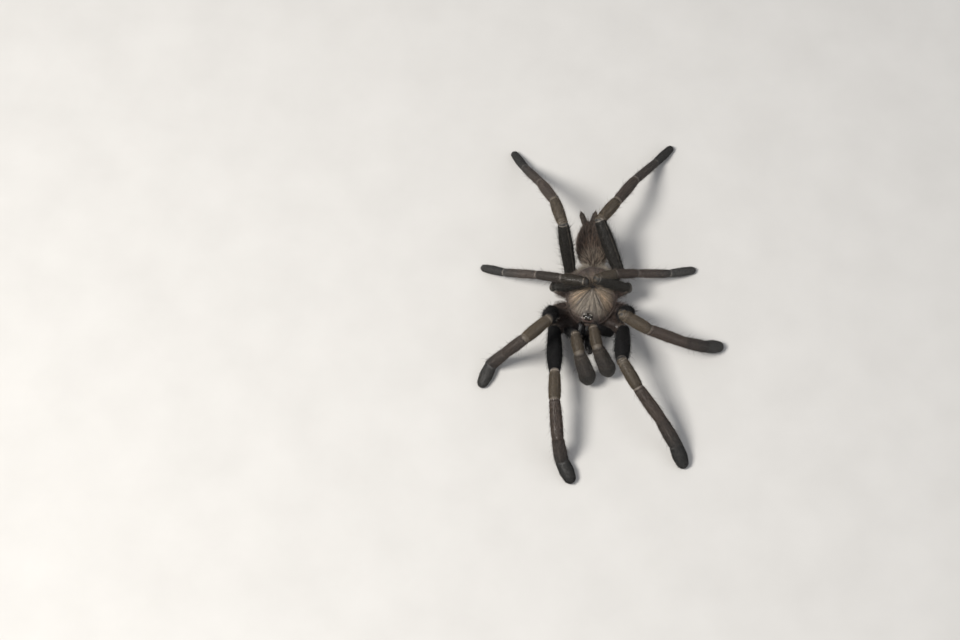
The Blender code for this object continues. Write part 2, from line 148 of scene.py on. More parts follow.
# Compass heading and rise of each segment; the last leg segment sets its foot on the floor.
POSE = {
    ("leg1", "left"): ((-88, 35), (-51, -18), (-43, -25), (-46, -34), (-58, 0)),
    ("leg1", "right"): ((-84, 19), (-84, 4), (-79, -11), (-63, -65), (-59, 0)),
    ("leg2", "left"): ((-104, 62), (-11, -32), (-3, -25), (17, -42), (26, 0)),
    ("leg2", "right"): ((-95, 56), (-129, 7), (-174, -63), (-169, -62), (-108, 0)),
    ("leg3", "left"): ((-169, 41), (39, -30), (29, -36), (21, -28), (25, 0)),
    ("leg3", "right"): ((-7, 44), (170, -15), (162, -31), (166, -31), (158, 0)),
    ("leg4", "left"): ((120.5, 28), (59, -4), (66, -26), (62, -33), (57, 0)),
    ("leg4", "right"): ((112.5, 55), (113, -5), (118, -36), (121, -41), (123, 0)),
    ("palp", "left"): ((-157, 53), (-74, 4), (-39, -60), (-22, -70)),
    ("palp", "right"): ((-60, 57), (-73, 5), (-49, -60), (-37, -71)),
}
FOOT_SINK = 0.30
FOOT_FLATNESS = 0.94
SIDES = {"left": 1, "right": -1}

# Coat depth over the skin.
LIMB_COAT = 0.24
FOOT_COAT = 0.22
BODY_COAT = 0.30
PEDICEL_COAT = 0.20
JAW_COAT = 0.06
ABDOMEN_COAT = 0.55
CARAPACE_COAT = 0.14
SKIN_VOXEL = 0.24
# How far the tips of standing hair may pass the CAD model's box.
COAT_ROOM = (0.8, 0.8, 0.45)

# Colours, linear: of each kind of region, and of the palp where it has its own.
COLOURS = {
    "femur": (0.0075, 0.0072, 0.0078), "patella": (0.105, 0.083, 0.058),
    "tibia": (0.088, 0.067, 0.055), "metatarsus": (0.068, 0.054, 0.046),
    "tarsus": (0.043, 0.042, 0.040), "coxa": (0.055, 0.040, 0.034),
    "core": (0.036, 0.028, 0.023), "pedicel": (0.036, 0.028, 0.023),
    "abdomen": (0.032, 0.025, 0.021), "spinneret": (0.105, 0.082, 0.066),
    "chelicera": (0.014, 0.012, 0.012),
}
PALP_COLOURS = {
    "patella": (0.092, 0.072, 0.050), "tibia": (0.060, 0.052, 0.046),
    "tarsus": (0.048, 0.045, 0.040),
}
BACK_FEMUR = (0.030, 0.027, 0.022)
TROCHANTER = (0.115, 0.095, 0.080)
ABDOMEN_TOP = (0.062, 0.045, 0.035)
MEMBRANE = (0.34, 0.29, 0.24)
BARE_STRIPE = (0.17, 0.135, 0.11)
CARAPACE_SKIN = (0.085, 0.064, 0.048)
CARAPACE_GROOVE = (0.040, 0.029, 0.022)
CARAPACE_RIM = (0.075, 0.047, 0.038)
SILVER_HAIR = (0.400, 0.355, 0.300)
GOLDEN_HAIR = (0.560, 0.430, 0.300)
RIM_HAIR = (0.085, 0.055, 0.043)
PALE_FRINGE = (0.46, 0.40, 0.32)
GROOVE_HAIR = (0.050, 0.036, 0.028)
MOUND_HAIR = (0.09, 0.075, 0.06)
# Painted shade on the rear underside of the abdomen.
ABDOMEN_PAINTED_SHADE = (0.022, 0.018, 0.016)


# --- the animal's measurements

def direction(heading, rise):
    """Unit vector along a compass heading that climbs by rise."""
    flat = math.cos(math.radians(rise))
    turn = math.radians(heading)
    return Vector((math.cos(turn) * flat, math.sin(turn) * flat, math.sin(math.radians(rise))))


def carapace_rim(angle):
    """Outline of the carapace; the head end is broad and the tail end is notched."""
    sine, cosine = math.sin(angle), math.cos(angle)
    y = CARAPACE_FRONT if sine < 0 else CARAPACE_BACK
    y *= math.copysign(abs(sine) ** 0.9, sine)
    taper = 1.0 - 0.20 * max(0.0, -sine) ** 1.5 - 0.10 * max(0.0, sine) ** 2
    x = CARAPACE_WIDTH / 2 * math.copysign(abs(cosine) ** 0.78, cosine) * taper
    return x, y


def dome_height(x, y):
    """Top of the carapace without its grooves, in body coordinates; takes arrays too."""
    across = x / (CARAPACE_WIDTH / 2)
    along = (y - 0.6) / (CARAPACE_BACK + 0.6)
    spread = np.minimum(1.0, across ** 2 + along ** 2)
    dome = DOME_RISE * (1.0 - spread ** 1.4)
    head_across = x / (3.7 - 0.12 * np.maximum(0.0, y + 2.0))
    head_along = (y + 6.2) / 5.0
    head = HEAD_RISE * np.exp(-(head_across ** 4)) * np.exp(-(head_along ** 2) * 1.1)
    return CARAPACE_EDGE + 0.25 + dome + head


def head_turn():
    """The shield, the eyes and the jaws are turned a little to the right."""
    pivot = Matrix.Translation((0, HEAD_PIVOT_Y, 0))
    return pivot @ Matrix.Rotation(math.radians(HEAD_TURN), 4, "Z") @ pivot.inverted()


def standing_matrix():
    """From body coordinates to the frame's, in millimetres, found from the CAD carapace."""
    pitch = Matrix.Rotation(math.radians(NOSE_DOWN), 4, "X")
    roll = Matrix.Rotation(math.radians(-LEFT_SIDE_UP), 4, "Y")
    stand = Matrix.Translation((0, 0, BODY_HEIGHT)) @ pitch @ roll
    rim = []
    for step in range(40):
        x, y = carapace_rim(math.tau * step / 40)
        rim.append(stand @ head_turn() @ Vector((x, y, float(dome_height(x, y)))))
    low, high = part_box("carapace")
    x = (low.x + high.x) / 2 / MM - (min(p.x for p in rim) + max(p.x for p in rim)) / 2
    y = (low.y + high.y) / 2 / MM - (min(p.y for p in rim) + max(p.y for p in rim)) / 2
    return Matrix.Translation((x, y, 0)) @ stand


STAND = standing_matrix()
HEAD = STAND @ head_turn()
HEAD_AXES = np.array(HEAD.to_3x3())


def carried(points, matrix):
    """Rows of points moved by a 4 x 4 matrix."""
    matrix = np.array(matrix)
    return points @ matrix[:3, :3].T + matrix[:3, 3]


def limb_points(limb, side):
    """Coxa root, hip and every joint down to the foot."""
    outer = Vector(HIPS[limb, side])
    root = Vector((SIDES[side] * (3.0 if limb == "palp" else 1.6), outer.y * 0.52, -2.3))
    points = [STAND @ root, STAND @ outer]
    for index, (length, *radii) in enumerate(SIZES[limb]):
        heading, rise = POSE[limb, side][index]
        if limb != "palp" and index == len(SIZES[limb]) - 1:
            pad_height = radii[-1] * FOOT_FLATNESS - FOOT_SINK
            rise = math.degrees(math.asin((pad_height - points[-1].z)
                                          / (length - 0.85 * radii[-1])))
        points.append(points[-1] + direction(heading, rise) * length)
    return points


# --- regions of the body

class Tube:
    """A stretch of the body about a straight axis: what skin and coat know of their place."""

    def __init__(self, kind, limb, side, start, end, shares, radii, tall=1.0, up=None):
        self.kind, self.limb, self.side = kind, limb, side
        self.start, self.end = Vector(start), Vector(end)
        axis = self.end - self.start
        self.length = axis.length
        self.ahead = axis.normalized()
        level = Vector((self.ahead.x, self.ahead.y, 0)).length
        if up is None:
            up = Vector((-self.ahead.x * self.ahead.z, -self.ahead.y * self.ahead.z,
                         level * level)) if level > 1e-4 else Vector((0, 1, 0))
        across = self.ahead.cross(up).normalized()
        self.across, self.up = across, across.cross(self.ahead)
        self.tall = tall
        fine = np.linspace(0.0, 1.0, 61)
        table = np.interp(fine, shares, radii)
        for _ in range(8):
            table[1:-1] = 0.25 * table[:-2] + 0.5 * table[1:-1] + 0.25 * table[2:]
        self.fine, self.table = fine, table

    def radius(self, share):
        """Half width at a share of the length."""
        return np.interp(share, self.fine, self.table)

    def place(self, points):
        """Distance outside the surface, share of the length and bearing round the axis."""
        offset = points - np.array(self.start)
        along = offset @ np.array(self.ahead)
        share = along / self.length
        x = offset @ np.array(self.across)
        z = offset @ np.array(self.up) / self.tall
        beyond = np.maximum(0.0, np.abs(share - 0.5) - 0.5) * self.length
        gap = np.sqrt(x * x + z * z) - self.radius(clamp(share)) + beyond * 1.3
        return gap, share, np.arctan2(x, z)


class Hull:
    """The core of the body under the carapace."""

    kind, limb, side, length = "core", "body", "both", 14.0

    def __init__(self):
        self.ahead = (STAND.to_3x3() @ Vector((0, 1, 0))).normalized()

    def place(self, points):
        """Distance outside the surface, share of the length and bearing, as for a tube."""
        size = np.array(CORE_SIZE) - BODY_COAT
        local = carried(points, STAND.inverted()) - np.array((0, 0, CORE_LEVEL))
        gap = (np.linalg.norm(local / size, axis=1) - 1.0) * size[2]
        return gap, local[:, 1] / (2 * size[1]) + 0.5, np.arctan2(local[:, 0], local[:, 2])


def egg_radii(shares):
    """Half width of the abdomen along its length."""
    return (ABDOMEN_RADIUS - ABDOMEN_COAT) * np.sin(np.pi * shares ** 0.82) ** 0.62


def body_regions():
    """Every region of the skin."""
    regions = [Hull()]
    for limb in SIZES:
        names = PALP_SEGMENTS if limb == "palp" else SEGMENTS
        for side in SIDES:
            points = limb_points(limb, side)
            radius = COXA_RADIUS[limb] - BODY_COAT
            regions.append(Tube("coxa", limb, side, points[0], points[1],
                                (0, 0.5, 1), (radius * 0.9, radius, radius * 0.93)))
            for index, (length, *radii) in enumerate(SIZES[limb]):
                is_last = index == len(names) - 1
                start, end = points[index + 1], points[index + 2]
                coat = FOOT_COAT if is_last else LIMB_COAT
                first, middle, last = (value - coat for value in radii)
                if is_last:
                    end = end - (end - start).normalized() * coat
                    length -= coat
                    shares = (0, 0.5, 1 - 0.85 * last / length, 1 - 0.35 * last / length, 1)
                    sizes = (first, middle, last, 0.84 * last, 0.45 * last)
                    tall = FOOT_FLATNESS
                else:
                    shares = (0, 0.3, 0.62, 1)
                    sizes = (first, 0.45 * first + 0.6 * middle - 0.05 * last, middle, last)
                    tall = LIMB_TALL
                regions.append(Tube(names[index], limb, side, start, end, shares, sizes, tall))
    fine = np.linspace(0.02, 0.97, 30)
    start = STAND @ Vector(ABDOMEN_START)
    ahead = direction(ABDOMEN_HEADING, ABDOMEN_SLOPE)
    belly = Tube("abdomen", "body", "both", start, start + ahead * ABDOMEN_LENGTH,
                 fine, egg_radii(fine), ABDOMEN_TALL)
    regions.append(belly)
    across = ahead.cross(Vector((0, 0, 1))).normalized()
    for side, sign in SIDES.items():
        root = (start + ahead * (ABDOMEN_LENGTH * ABDOMEN_TAIL)
                + across * (sign * SPINNERET_APART))
        tip = root + SPINNERET_LENGTH * direction(ABDOMEN_HEADING - sign * SPINNERET_SPLAY,
                                                  SPINNERET_RISE)
        regions.append(Tube("spinneret", "body", side, root, tip, *SPINNERET_PROFILE))
        x, y, z = CHELICERA_START
        root = HEAD @ Vector((sign * x, y, z))
        tip = HEAD @ Vector((sign * x, y - CHELICERA_LENGTH + 0.25, z - 1.5))
        shares, widths = CHELICERA_PROFILE
        regions.append(Tube("chelicera", "body", side, root, tip, shares,
                            [(CHELICERA_HALF_WIDTH - JAW_COAT) * wide for wide in widths],
                            CHELICERA_TALL, up=STAND.to_3x3() @ Vector((0, 0, 1))))
    front, back, radius = PEDICEL
    regions.append(Tube("pedicel", "body", "both", STAND @ Vector(front), STAND @ Vector(back),
                        (0, 1), (radius - PEDICEL_COAT, radius - PEDICEL_COAT)))
    return regions


REGIONS = body_regions()
KINDS = np.array([region.kind for region in REGIONS])
LIMBS = np.array([region.limb for region in REGIONS])
REGION_SIDES = np.array([region.side for region in REGIONS])
LENGTHS = np.array([region.length for region in REGIONS])
AHEAD = np.array([list(region.ahead) for region in REGIONS])


class Places:
    """Where points are on the body: their region, share of its length and bearing."""

    def __init__(self, points):
        best = np.full(len(points), 1e9)
        self.region = np.zeros(len(points), int)
        self.share, self.bearing = np.zeros(len(points)), np.zeros(len(points))
        for index, tube in enumerate(REGIONS):
            gap, share, bearing = tube.place(points)
            closer = gap < best
            best[closer], self.region[closer] = gap[closer], index
            self.share[closer], self.bearing[closer] = share[closer], bearing[closer]
        self.kind, self.limb = KINDS[self.region], LIMBS[self.region]
        self.side, self.length = REGION_SIDES[self.region], LENGTHS[self.region]
        self.on_back_legs = np.isin(self.limb, ("leg3", "leg4"))

    def of(self, *kinds):
        """Which points are on regions of these kinds."""
        return np.isin(self.kind, kinds)


# --- markings

def clamp(values):
    """Values kept between 0 and 1."""
    return np.clip(values, 0, 1)


def blend(colours, other, amount):
    """Mixes a colour into rows of colours."""
    amount = clamp(amount)[:, None]
    return colours * (1 - amount) + np.array(other) * amount


def ridge(value, centre, width):
    """A soft bump of height 1 about a centre."""
    return np.exp(-((value - centre) / width) ** 2)


def bare_line(place, share, bearing):
    """The pair of bare lines along the top of patellae, tibiae and metatarsi."""
    lines = ridge(np.abs(bearing), LINE_BEARING, LINE_WIDTH) * place.of(*STRIPED)
    return lines * clamp((share - 0.06) * 12) * clamp((0.93 - share) * 12)


# How clearly the membrane shows at the start and at the end of a segment.
MEMBRANES = {
    "coxa": (0.0, 0.4), "femur": (0.4, 0.75), "patella": (1.0, 0.26), "tibia": (0.26, 0.16),
    "metatarsus": (0.14, 0.14), "tarsus": (0.14, 0.0),
}


def joint_ring(place, share, bearing):
    """The pale membrane at either end of a segment, broadest and palest on top."""
    top = 0.5 + 0.5 * np.cos(bearing)
    wide = 0.12 + 0.09 * top
    ring = np.zeros(len(share))
    for name, (first, last) in MEMBRANES.items():
        start = clamp((wide - np.abs(share * place.length - 0.05)) / 0.09) * first
        end = clamp((wide * 0.7 - np.abs((1 - share) * place.length - 0.03)) / 0.09) * last
        ring = np.where(place.kind == name, np.maximum(start, end), ring)
    clear = place.on_back_legs & place.of("metatarsus", "tarsus")
    return ring * (0.55 + 0.45 * top) * np.where(clear, 3.0, 1.0)


def trochanter(place, share):
    """Where the coxa region is the glossy, thinly haired trochanter."""
    past = share * place.length - place.length + TROCHANTER_LENGTH + 0.2
    return (place.kind == "coxa") * clamp(past)


def streaks(turn, count, seed):
    """Uneven light and dark streaks round an axis, about -1 to 1."""
    return (0.45 * np.sin(count * turn + seed) + 0.35 * np.sin(2.3 * count * turn + 2.1 * seed)
            + 0.25 * np.sin(4.1 * count * turn + 0.7 * seed))


# How much lighter or darker some segments are than their kind. Where left and right differ, the
# difference is painted light and shade: a painted shadow darkens the right leg III patella and
# tibia, and painted light brightens the left leg IV femur.
TONE_AND_PAINTED_SHADE = (
    (("patella",), "leg3", "right", 0.26), (("tibia",), "leg3", "right", 0.38),
    (("patella", "tibia"), "leg3", "left", 0.80), (("metatarsus",), "leg3", "both", 1.25),
    (("tarsus",), "leg2", "both", 1.7), (("tarsus",), "leg3", "left", 1.8),
    (("femur",), "leg4", "left", 2.4), (("femur",), "leg4", "right", 1.3),
    (("tibia",), "leg2", "right", 0.75),
    (("patella",), "leg2", "left", 1.15),
)


def markings(place, share, bearing):
    """Colour and gloss of the skin, the same for the coat that grows there."""
    kind, palp = place.kind, place.limb == "palp"
    colours = np.zeros((len(kind), 3))
    for name, colour in COLOURS.items():
        colours[kind == name] = colour
    for name, colour in PALP_COLOURS.items():
        colours[(kind == name) & palp] = colour
    fade = (kind == "metatarsus") * np.clip(share * 1.4 - 0.55, 0, 0.75)
    colours = blend(colours, COLOURS["tarsus"], fade)
    fade = ((kind == "tibia") & palp) * 0.45 * clamp(1 - 2 * share)
    colours = blend(colours, PALP_COLOURS["patella"], fade)
    # Segment factors: where left and right differ, they are painted light and shade.
    for sort, leg, flank, factor in TONE_AND_PAINTED_SHADE:
        mine = place.of(*sort) & (place.limb == leg) & ((place.side == flank) | (flank == "both"))
        colours = colours * np.where(mine, factor, 1.0)[:, None]
    top, back, femur = np.cos(bearing), kind == "abdomen", kind == "femur"
    colours = blend(colours, ABDOMEN_TOP, back * clamp(0.35 + 0.9 * top))
    colours = colours * np.where(back, 1 + 0.55 * streaks(bearing, 11, 1.0), 1.0)[:, None]
    # Painted shade: darker towards the rear of the abdomen and on its lower sides.
    shade = np.clip(share * 1.3 - 0.55, 0, 0.6) * clamp(0.6 - top)
    finger = np.maximum(ridge(share, 0.40, 0.035), ridge(share, 0.72, 0.03))
    line = ridge(bearing, 0.45, 0.08) * femur * (place.limb == "leg4")
    stripe = bare_line(place, share, bearing)
    ring = joint_ring(place, share, bearing)
    for other, amount in (
        (ABDOMEN_PAINTED_SHADE, back * shade), (MEMBRANE, (kind == "spinneret") * 0.4 * finger),
        (BACK_FEMUR, (femur & place.on_back_legs) * 0.7),
        (TROCHANTER, 0.8 * trochanter(place, share)), (SILVER_HAIR, 0.35 * line),
        (BARE_STRIPE, np.where(place.limb == "leg3", 0.10, 0.26) * stripe), (MEMBRANE, ring),
    ):
        colours = blend(colours, other, amount)
    gloss = np.where(kind == "chelicera", 0.9, np.maximum(0.15 * stripe, 0.5 * ring))
    return colours, np.maximum(gloss, trochanter(place, share))


# --- mesh helpers

def loft(mesh, centres, across, up, widths, heights, count=24, start=0.5, keel=0.0):
    """Adds a closed body through a row of elliptical sections to a bmesh."""
    ups = up if isinstance(up, list) else [up] * len(centres)
    angles = [math.tau * (k + start) / count for k in range(count)]
    loops = []
    for centre, above, wide, high in zip(centres, ups, widths, heights):
        loop = []
        for angle in angles:
            swell = 1.0 + keel * math.cos(2 * angle)
            loop.append(mesh.verts.new(centre + across * (wide * swell * math.cos(angle))
                                       + above * (high * swell * math.sin(angle))))
        loops.append(loop)
    faces = []
    for first, second in zip(loops, loops[1:]):
        for k in range(count):
            after = (k + 1) % count
            faces.append(mesh.faces.new((first[k], first[after], second[after], second[k])))
    faces += [mesh.faces.new(list(reversed(loops[0]))), mesh.faces.new(loops[-1])]
    bmesh.ops.recalc_face_normals(mesh, faces=faces)


def link_object(name, data, material=None):
    """Puts a mesh, a camera or a lamp into the scene."""
    thing = bpy.data.objects.new(name, data)
    bpy.context.scene.collection.objects.link(thing)
    if material:
        data.shade_smooth()
        data.materials.append(material)
    return thing


def add_object(name, mesh, material):
    """Turns a bmesh in millimetres into an object in metres."""
    bmesh.ops.scale(mesh, verts=mesh.verts, vec=(MM, MM, MM))
    data = bpy.data.meshes.new(name)
    mesh.to_mesh(data)
    mesh.free()
    return link_object(name, data, material)


def tube_into(mesh, tube, pinch):
    """One tube of the skin, with rounded ends and a waist at each joint."""
    first, last = float(tube.table[0]), float(tube.table[-1])
    caps = [(beyond, math.sqrt(1 - (beyond * 0.98) ** 2)) for beyond in (0.25, 0.5, 0.75, 0.92)]
    stations = [(-beyond * first, first * wide) for beyond, wide in reversed(caps)]
    count = max(8, int(tube.length / 0.45))
    for step in range(count + 1):
        share = step / count
        along = share * tube.length
        start = 0.3 if tube.kind in ("metatarsus", "tarsus") else 1.0
        end = 0.3 if tube.kind in ("tibia", "metatarsus") else 1.0
        waist = pinch * (start * math.exp(-(along / 0.4) ** 2)
                         + end * math.exp(-((tube.length - along) / 0.4) ** 2))
        stations.append((along, float(tube.radius(share)) * (1 - waist)))
    if tube.kind != "tarsus":
        stations += [(tube.length + beyond * last, last * wide) for beyond, wide in caps]
    centres = [tube.start + tube.ahead * along for along, _ in stations]
    widths = [radius for _, radius in stations]
    loft(mesh, centres, tube.across, tube.up, widths, [w * tube.tall for w in widths])


def make_skin(material):
    """The whole flesh as one continuous skin."""
    mesh = bmesh.new()
    for tube in REGIONS:
        if tube.kind == "core":
            continue
        if tube.kind == "abdomen":
            shares = 0.5 - 0.5 * np.cos(np.pi * np.linspace(0.06, 0.90, 34))
            centres = [tube.start + tube.ahead * (ABDOMEN_LENGTH * s) for s in shares]
            widths = [float(r) for r in egg_radii(shares)]
            heights = [wide * ABDOMEN_TALL for wide in widths]
            loft(mesh, centres, tube.across, tube.up, widths, heights, 40)
        else:
            waistless = tube.kind in ("chelicera", "pedicel", "spinneret")
            tube_into(mesh, tube, 0.0 if waistless else WAIST)
    core = bmesh.new()
    bmesh.ops.create_uvsphere(core, u_segments=48, v_segments=32, radius=1.0)
    bmesh.ops.scale(core, verts=core.verts, vec=[size - BODY_COAT for size in CORE_SIZE])
    bmesh.ops.translate(core, verts=core.verts, vec=(0, 0, CORE_LEVEL))
    for vertex in core.verts:
        vertex.co.z = min(0.3, max(-3.85 - 0.06 * abs(vertex.co.x), vertex.co.z))
    core.transform(STAND)
    data = bpy.data.meshes.new("core")
    core.to_mesh(data)
    core.free()
    mesh.from_mesh(data)
    bpy.data.meshes.remove(data)
    skin = add_object("skin", mesh, material)
    remesh = skin.modifiers.new("one_skin", "REMESH")
    remesh.mode = "VOXEL"
    remesh.voxel_size = SKIN_VOXEL * MM
    remesh.use_smooth_shade = True
    smooth = skin.modifiers.new("smooth", "SMOOTH")
    smooth.factor = 0.5
    smooth.iterations = 2
    bpy.context.view_layer.update()
    graph = bpy.context.evaluated_depsgraph_get()
    data = bpy.data.meshes.new_from_object(skin.evaluated_get(graph))
    skin.modifiers.clear()
    skin.data = data
    data.name = "skin"
    return skin


def read_rows(items, name, kind=float):
    """Three numbers of each vertex or triangle of a mesh."""
    rows = np.empty(len(items) * 3, kind)
    items.foreach_get(name, rows)
    return rows.reshape(-1, 3)


def read_mesh(data):
    """Vertices in millimetres, their normals, and the triangles' vertex numbers."""
    data.calc_loop_triangles()
    return (read_rows(data.vertices, "co") / MM, read_rows(data.vertices, "normal"),
            read_rows(data.loop_triangles, "vertices", int))


def write_marks(data, colours, name, values):
    """Stores the marking and one more value for each vertex."""
    rows = np.ones((len(colours), 4))
    rows[:, :3] = colours
    layer = data.attributes.new("marking", "FLOAT_COLOR", "POINT")
    layer.data.foreach_set("color", rows.ravel())
    layer = data.attributes.new(name, "FLOAT", "POINT")
    layer.data.foreach_set("value", np.asarray(values, float))


# --- tufts

def unit(rows):
    """Rows scaled to length 1."""
    return rows / np.maximum(np.linalg.norm(rows, axis=1, keepdims=True), 1e-9)


def scatter(points, normals, triangles, weight, rng):
    """Evenly spread places on the triangles, weight of them to the square millimetre."""
    a, b, c = (points[triangles[:, k]] for k in range(3))
    area = 0.5 * np.linalg.norm(np.cross(b - a, c - a), axis=1)
    amount = np.cumsum(area * weight)
    total = int(amount[-1])
    picks = (np.arange(total) + rng.random(total)) * (amount[-1] / max(total, 1))
    chosen = np.minimum(np.searchsorted(amount, picks), len(triangles) - 1)
    u, v = rng.random(total), rng.random(total)
    flip = u + v > 1
    u[flip], v[flip] = 1 - u[flip], 1 - v[flip]
    w = 1 - u - v
    rows = triangles[chosen]
    shares = (w[:, None], u[:, None], v[:, None])
    spots = sum(points[rows[:, k]] * shares[k] for k in range(3))
    facing = unit(sum(normals[rows[:, k]] * shares[k] for k in range(3)))
    return spots, facing


class Coat:
    """Collects tufts and turns them into one mesh piece."""

    def __init__(self, name):
        self.name = name
        self.points, self.faces, self.colours, self.tips, self.maps = [], [], [], [], []
        self.count = 0

    def add(self, roots, normals, lie, shape, colours, patch, curved):
        """Adds a tuft at each root; shape is length, width, lift of its foot and of its tip."""
        if not len(roots):
            return
        total = len(roots)
        lie = unit(lie - normals * np.sum(lie * normals, axis=1, keepdims=True))
        across = np.cross(lie, normals)
        length, width, lift, droop = (np.array(part, float)[:, None] for part in shape)
        lift, droop = np.radians(lift), np.radians(droop)
        low = lie * np.cos(lift) + normals * np.sin(lift)
        high = lie * np.cos(droop) + normals * np.sin(droop)
        base = roots - normals * 0.04
        over = unit(np.cross(across, low)) * -1.0
        over = np.where(np.sum(over * normals, axis=1, keepdims=True) < 0, -over, over)
        ring = [base + across * width * 0.5, base - across * width * 0.5,
                base + over * (width * 0.35 + 0.04)]
        tag = [(-1, -1), (1, -1), (0, -0.8)]
        tips = [0.0, 0.0, 0.0]
        if curved:
            middle = base + low * length * 0.5
            ring += [middle + across * width * 0.40, middle - across * width * 0.40,
                     middle + over * width * 0.34]
            tag += [(-0.8, 0), (0.8, 0), (0, 0.1)]
            tips += [0.5, 0.5, 0.5]
            ring.append(middle + high * length * 0.5)
            pattern = [(2, 1, 0), (0, 1, 4), (0, 4, 3), (1, 2, 5), (1, 5, 4), (2, 0, 3),
                       (2, 3, 5), (3, 4, 6), (4, 5, 6), (5, 3, 6)]
        else:
            ring.append(base + (low + high) * 0.5 * length)
            pattern = [(2, 1, 0), (0, 1, 3), (1, 2, 3), (2, 0, 3)]
        tag.append((0, 1))
        tips.append(1.0)
        each = len(ring)
        block = np.stack(ring, axis=1).reshape(-1, 3)
        start = self.count + each * np.arange(total)
        faces = (start[:, None, None] + np.array(pattern)[None]).reshape(-1, 3)
        self.points.append(block)
        self.faces.append(faces)
        self.colours.append(np.repeat(colours, each, axis=0))
        self.tips.append(np.tile(tips, total))
        self.maps.append((patch[:, None, :] + MAP_PATCH / 2 * np.array(tag)[None]).reshape(-1, 2))
        self.count += each * total

    def build(self, material):
        """Makes the object."""
        points = np.concatenate(self.points)
        faces = np.concatenate(self.faces)
        low, high = np.array(cad_low) / MM, np.array(cad_high) / MM
        room = np.array(COAT_ROOM)
        points = np.clip(points, np.array((*(low - room)[:2], 0.0)), high + room)
        data = bpy.data.meshes.new(self.name)
        data.vertices.add(len(points))
        data.vertices.foreach_set("co", (points * MM).ravel())
        data.loops.add(faces.size)
        data.loops.foreach_set("vertex_index", faces.ravel())
        data.polygons.add(len(faces))
        data.polygons.foreach_set("loop_start", np.arange(0, faces.size, 3))
        data.update(calc_edges=True)
        write_marks(data, np.concatenate(self.colours), "tip", np.concatenate(self.tips))
        layer = data.uv_layers.new(name="OFBake")
        layer.uv.foreach_set("vector", np.concatenate(self.maps)[faces.ravel()].ravel())
        print(self.name, len(faces))
        return link_object(self.name, data, material)


# Tufts to the square millimetre, length, width, lift and droop, of the undercoat, the guard
# hair and the bristles of each kind of region.
STRAY = (0, 0.4, 0.06, 10, 5)
TUFTS = {
    "femur": ((32, 0.90, 0.095, 10, 6), (2.4, 1.9, 0.075, 34, 10), (0.22, 3.0, 0.065, 58, 34)),
    "patella": ((36, 0.75, 0.085, 9, 5), (2.0, 1.4, 0.06, 26, 8), (0.12, 2.4, 0.055, 52, 30)),
    "tibia": ((36, 0.80, 0.085, 9, 5), (2.2, 1.6, 0.06, 28, 8), (0.18, 2.6, 0.055, 54, 30)),
    "metatarsus": ((36, 0.75, 0.085, 10, 6), (2.4, 1.5, 0.06, 30, 10),
                   (0.20, 2.4, 0.055, 50, 28)),
    "tarsus": ((46, 0.55, 0.080, 18, 12), (3.4, 0.9, 0.055, 34, 14), STRAY),
    "coxa": ((20, 0.80, 0.095, 16, 9), (8.0, 2.0, 0.08, 50, 20), (0.25, 2.2, 0.06, 58, 34)),
    "core": ((12, 0.80, 0.11, 14, 8), (0.8, 1.2, 0.07, 36, 14), STRAY),
    "pedicel": ((14, 0.9, 0.11, 24, 12), (2, 1.4, 0.07, 40, 14), STRAY),
    "abdomen": ((34, 1.10, 0.10, 15, 8), (9.0, 2.5, 0.075, 24, 3), (0.9, 3.2, 0.065, 38, 10)),
    "spinneret": ((34, 0.5, 0.08, 14, 8), (6, 1.0, 0.055, 26, 8), (0.8, 1.4, 0.05, 44, 20)),
    "chelicera": ((16, 0.60, 0.08, 12, 6), (3.0, 1.3, 0.06, 34, 12), STRAY),
}
UNDERCOAT, GUARD, BRISTLES = range(3)
# Coat piece and slot of each kind of region; pieces of the limbs are named by side too.
PIECES = {
    "femur": ("femora", "femur_coat"), "patella": ("patellae", "patella_coat"),
    "tibia": ("tibiae", "tibia_coat"), "metatarsus": ("metatarsi", "metatarsus_coat"),
    "tarsus": ("feet", "tarsus_coat"), "coxa": ("underside", "underside_coat"),
    "core": ("underside", "underside_coat"), "pedicel": ("underside", "underside_coat"),
    "abdomen": ("abdomen", "abdomen_coat"), "spinneret": ("spinnerets", "spinneret_skin"),
    "chelicera": ("jaws", "jaw"),
}


def piece_names():
    """Coat piece of every region, its row on the piece's map, and the pieces' rows and slots."""
    names, rows, counts, slots = [], [], {}, {}
    for region in REGIONS:
        piece, slot = PIECES[region.kind]
        name = "coat_" + piece + ("_" + region.side if region.kind in SEGMENTS else "")
        rows.append(counts.get(name, 0))
        counts[name] = rows[-1] + 1
        slots[name] = slot
        names.append(name)
    return np.array(names), np.array(rows), counts, slots


def coat_weight(place, layer):
    """Tufts to the square millimetre at each place."""
    weight = np.zeros(len(place.kind))
    for name, layers in TUFTS.items():
        weight[place.kind == name] = layers[layer][0]
    weight *= clamp(1 - 1.2 * joint_ring(place, place.share, place.bearing))
    weight *= clamp(1 - 0.5 * bare_line(place, place.share, place.bearing))
    weight *= 1 - 0.7 * trochanter(place, place.share)
    jaw = np.clip(place.share * 2.6 - 0.25, 0.15, 1)
    weight *= np.where(place.kind == "chelicera", jaw, 1.0)
    bristly = place.on_back_legs & place.of("femur", "patella") & (layer == BRISTLES)
    return weight * np.where(bristly, 3.0, 1.0)


def tuft_sizes(place, layer, rng):
    """Length, width, lift and droop of the tufts; lying hair stops short of a joint."""
    style = np.zeros((len(place.kind), 5))
    for name, layers in TUFTS.items():
        style[place.kind == name] = layers[layer]
    length = style[:, 1] * rng.normal(1.0, 0.16, len(style)).clip(0.6, 1.5)
    room = (1 - place.share) * place.length - 0.12
    room = room + np.where(place.kind == "patella", 0.25, 0.0)
    jointed = (place.of("femur", "patella", "coxa")
               | (place.on_back_legs & ~place.of("tarsus", "abdomen")))
    lying = jointed & (layer != BRISTLES)
    return np.where(lying, np.minimum(length, np.maximum(room, 0.22)), length), *style[:, 2:].T


